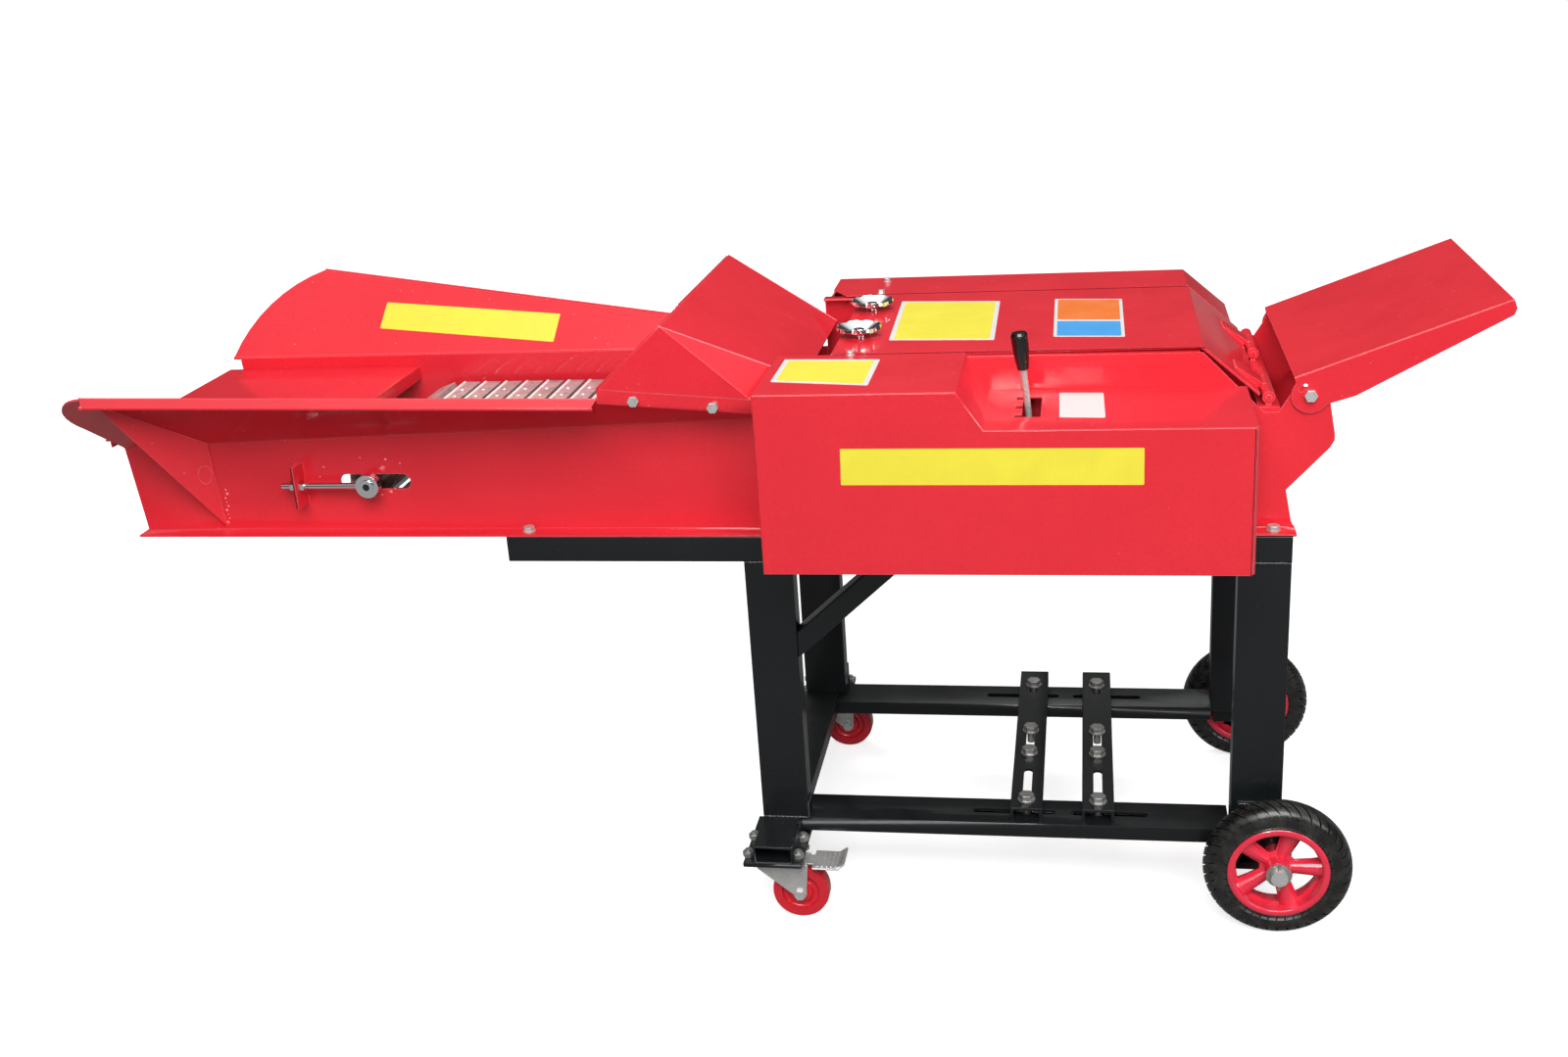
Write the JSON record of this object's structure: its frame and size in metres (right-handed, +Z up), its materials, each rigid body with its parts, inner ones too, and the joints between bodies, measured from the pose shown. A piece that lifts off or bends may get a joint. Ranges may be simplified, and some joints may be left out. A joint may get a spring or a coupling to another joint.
{
  "type": "forage cutter",
  "caption": "Wheeled forage cutter with chain feed trough, feed rollers under a hood, hinged cover, knife rotor, shift lever, tilting chute and stand with motor bars.",
  "frame": {"origin": "on the floor, under the middle of the machine's overall box", "axes": "+X along the machine from the feed trough to the chute, +Y from the gear guard side to the belt guard side, +Z up"},
  "size_m": [1.7174, 0.598, 0.7713],
  "materials": {
    "red_paint": "glossy red sprayed paint with fine specks",
    "stand_black": "semi-gloss black sprayed paint",
    "zinc": "dull zinc plate",
    "steel": "oiled machined steel",
    "spring_steel": "spring wire",
    "tyre": "black rubber with block tread",
    "rim_red": "glossy red plastic rim",
    "caster_red": "red polyurethane",
    "chrome": "bright plated pressing",
    "cast": "black painted casting",
    "grip": "glossy black moulded grip"
  },
  "bodies": {
    "stand": {"legs": "stand_black", "top_rails": "stand_black", "lower_rails": "stand_black", "foot_channel": "stand_black", "braces": "stand_black", "motor_bars": "stand_black", "stand_fasteners": "zinc", "caster_plates": "zinc", "axle": "steel", "trough_side_near": "red_paint", "trough_side_far": "red_paint", "trough_floor": "red_paint", "hood": "red_paint", "conveyor_slats": "zinc", "chains": "steel", "tail_shaft": "zinc", "side_plates": "red_paint", "housing_pan": "red_paint", "bed_knife": "steel", "cross_bars": "red_paint", "near_guard": "red_paint", "far_guard": "red_paint", "body_fasteners": "zinc", "bearing_housings": "cast", "pressure_springs": "spring_steel"},
    "wheel_near": {"tyre_near": "tyre", "rim_near": "rim_red"},
    "wheel_far": {"tyre_far": "tyre", "rim_far": "rim_red"},
    "caster_near": {"caster_fork_near": "zinc"},
    "caster_roll_near": {"caster_wheel_near": "caster_red"},
    "pedal_near": {"brake_pedal_near": "zinc"},
    "caster_far": {"caster_fork_far": "zinc"},
    "caster_roll_far": {"caster_wheel_far": "caster_red"},
    "pedal_far": {"brake_pedal_far": "zinc"},
    "head": {"head_shaft": "steel"},
    "tail": {"tail_idlers": "steel"},
    "lid": {"cover": "red_paint"},
    "nut_near": {"hand_nut_near": "chrome"},
    "nut_far": {"hand_nut_far": "chrome"},
    "chute": {"deflector": "red_paint"},
    "cutter": {"rotor_shaft": "steel", "rotor_discs": "steel", "knife_blades": "steel", "drive_pulley": "cast"},
    "low_roller": {"lower_roller": "steel", "lower_roller_gears": "steel"},
    "roller_float": {"roller_blocks": "steel"},
    "high_roller": {"upper_roller": "steel", "upper_roller_gear": "steel"},
    "lay": {"lay_shaft": "steel"},
    "forward": {"forward_gear": "steel"},
    "reverse": {"reverse_gear": "steel"},
    "idler": {"idler_gear": "steel"},
    "clutch": {"clutch_sleeve": "steel"},
    "fork": {"shift_fork": "steel"},
    "lever_block": {"pivot_block": "steel"},
    "lever": {"shift_lever": "zinc", "lever_grip": "grip"}
  },
  "joints": [
    {"name": "wheel_spin_near", "type": "hinge", "parent": "stand", "child": "wheel_near", "pos_m": [0.62628, -0.199, 0.088], "axis": [0, 1, 0], "continuous": true},
    {"name": "wheel_spin_far", "type": "hinge", "parent": "stand", "child": "wheel_far", "pos_m": [0.62628, 0.253, 0.088], "axis": [0, 1, 0], "continuous": true},
    {"name": "caster_swivel_near", "type": "hinge", "parent": "stand", "child": "caster_near", "pos_m": [0.00828, -0.206, 0.08], "axis": [0, 0, 1], "continuous": true},
    {"name": "caster_spin_near", "type": "hinge", "parent": "caster_near", "child": "caster_roll_near", "pos_m": [0.03828, -0.206, 0.0365], "axis": [0, 1, 0], "continuous": true},
    {"name": "brake_pedal_near", "type": "hinge", "parent": "caster_near", "child": "pedal_near", "pos_m": [0.04428, -0.206, 0.077], "axis": [0, 1, 0], "range_deg": [0, 5.5]},
    {"name": "caster_swivel_far", "type": "hinge", "parent": "stand", "child": "caster_far", "pos_m": [0.00828, 0.26, 0.08], "axis": [0, 0, 1], "continuous": true},
    {"name": "caster_spin_far", "type": "hinge", "parent": "caster_far", "child": "caster_roll_far", "pos_m": [0.03828, 0.26, 0.0365], "axis": [0, 1, 0], "continuous": true},
    {"name": "brake_pedal_far", "type": "hinge", "parent": "caster_far", "child": "pedal_far", "pos_m": [0.04428, 0.26, 0.077], "axis": [0, 1, 0], "range_deg": [0, 5.5]},
    {"name": "cover_hinge", "type": "hinge", "parent": "stand", "child": "lid", "pos_m": [0.60328, 0.027, 0.66], "axis": [0, 1, 0], "range_deg": [0, 85]},
    {"name": "hand_nut_spin_near", "type": "hinge", "parent": "lid", "child": "nut_near", "pos_m": [0.12528, -0.043, 0.73], "axis": [0, 0, 1], "continuous": true},
    {"name": "hand_nut_spin_far", "type": "hinge", "parent": "lid", "child": "nut_far", "pos_m": [0.12528, 0.097, 0.73], "axis": [0, 0, 1], "continuous": true},
    {"name": "chute_tilt", "type": "hinge", "parent": "stand", "child": "chute", "pos_m": [0.64728, 0.027, 0.666], "axis": [0, -1, 0], "range_deg": [-34, 15]},
    {"name": "cutter_spin", "type": "hinge", "parent": "stand", "child": "cutter", "pos_m": [0.29628, 0.027, 0.6], "axis": [0, 1, 0], "continuous": true},
    {"name": "forward_gear_spin", "type": "hinge", "parent": "stand", "child": "forward", "pos_m": [0.18647, -0.2685, 0.6066], "axis": [0, 1, 0], "continuous": true},
    {"name": "idler_gear_spin", "type": "hinge", "parent": "stand", "child": "idler", "pos_m": [0.26008, -0.221, 0.64273], "axis": [0, 1, 0], "continuous": true},
    {"name": "reverse_gear_spin", "type": "hinge", "parent": "stand", "child": "reverse", "pos_m": [0.18647, -0.221, 0.6066], "axis": [0, 1, 0], "continuous": true},
    {"name": "feed_spin", "type": "hinge", "parent": "stand", "child": "low_roller", "pos_m": [0.11187, 0.027, 0.568], "axis": [0, 1, 0], "continuous": true},
    {"name": "roller_lift", "type": "slide", "parent": "stand", "child": "roller_float", "axis": [0, 0, 1], "range_m": [0, 0.012], "stiffness_N_per_m": 4000, "springref_m": -0.02, "deforming": ["pressure_springs"]},
    {"name": "upper_roller_spin", "type": "hinge", "parent": "roller_float", "child": "high_roller", "pos_m": [0.11187, 0.027, 0.65], "axis": [0, 1, 0], "continuous": true},
    {"name": "lay_spin", "type": "hinge", "parent": "stand", "child": "lay", "pos_m": [0.18647, -0.169, 0.6066], "axis": [0, 1, 0], "continuous": true},
    {"name": "head_spin", "type": "hinge", "parent": "stand", "child": "head", "pos_m": [0.03128, 0.027, 0.57], "axis": [0, 1, 0], "continuous": true},
    {"name": "tail_spin", "type": "hinge", "parent": "stand", "child": "tail", "pos_m": [-0.49072, 0.027, 0.57], "axis": [0, 1, 0], "continuous": true},
    {"name": "lever_shift", "type": "hinge", "parent": "stand", "child": "lever_block", "pos_m": [0.34128, -0.21, 0.6], "axis": [1, 0, 0], "range_deg": [-24, 24]},
    {"name": "lever_gate", "type": "hinge", "parent": "lever_block", "child": "lever", "pos_m": [0.34128, -0.21, 0.612], "axis": [0, 1, 0], "range_deg": [-7, 5]},
    {"name": "clutch_slide", "type": "slide", "parent": "lay", "child": "clutch", "axis": [0, 1, 0], "range_m": [-0.0102, 0.0102]},
    {"name": "fork_slide", "type": "slide", "parent": "stand", "child": "fork", "axis": [0, 1, 0], "range_m": [-0.0102, 0.0102]}
  ],
  "couplings": [
    {"joint": "forward_gear_spin", "follows": "cutter_spin", "ratio": -0.30952},
    {"joint": "idler_gear_spin", "follows": "cutter_spin", "ratio": -0.86667},
    {"joint": "reverse_gear_spin", "follows": "cutter_spin", "ratio": 0.5},
    {"joint": "upper_roller_spin", "follows": "feed_spin", "ratio": -1},
    {"joint": "lay_spin", "follows": "feed_spin", "ratio": -1.625},
    {"joint": "head_spin", "follows": "feed_spin", "ratio": 1},
    {"joint": "tail_spin", "follows": "feed_spin", "ratio": 1},
    {"joint": "clutch_slide", "follows": "lever_shift", "m_per_rad": 0.024},
    {"joint": "fork_slide", "follows": "lever_shift", "m_per_rad": 0.024}
  ]
}
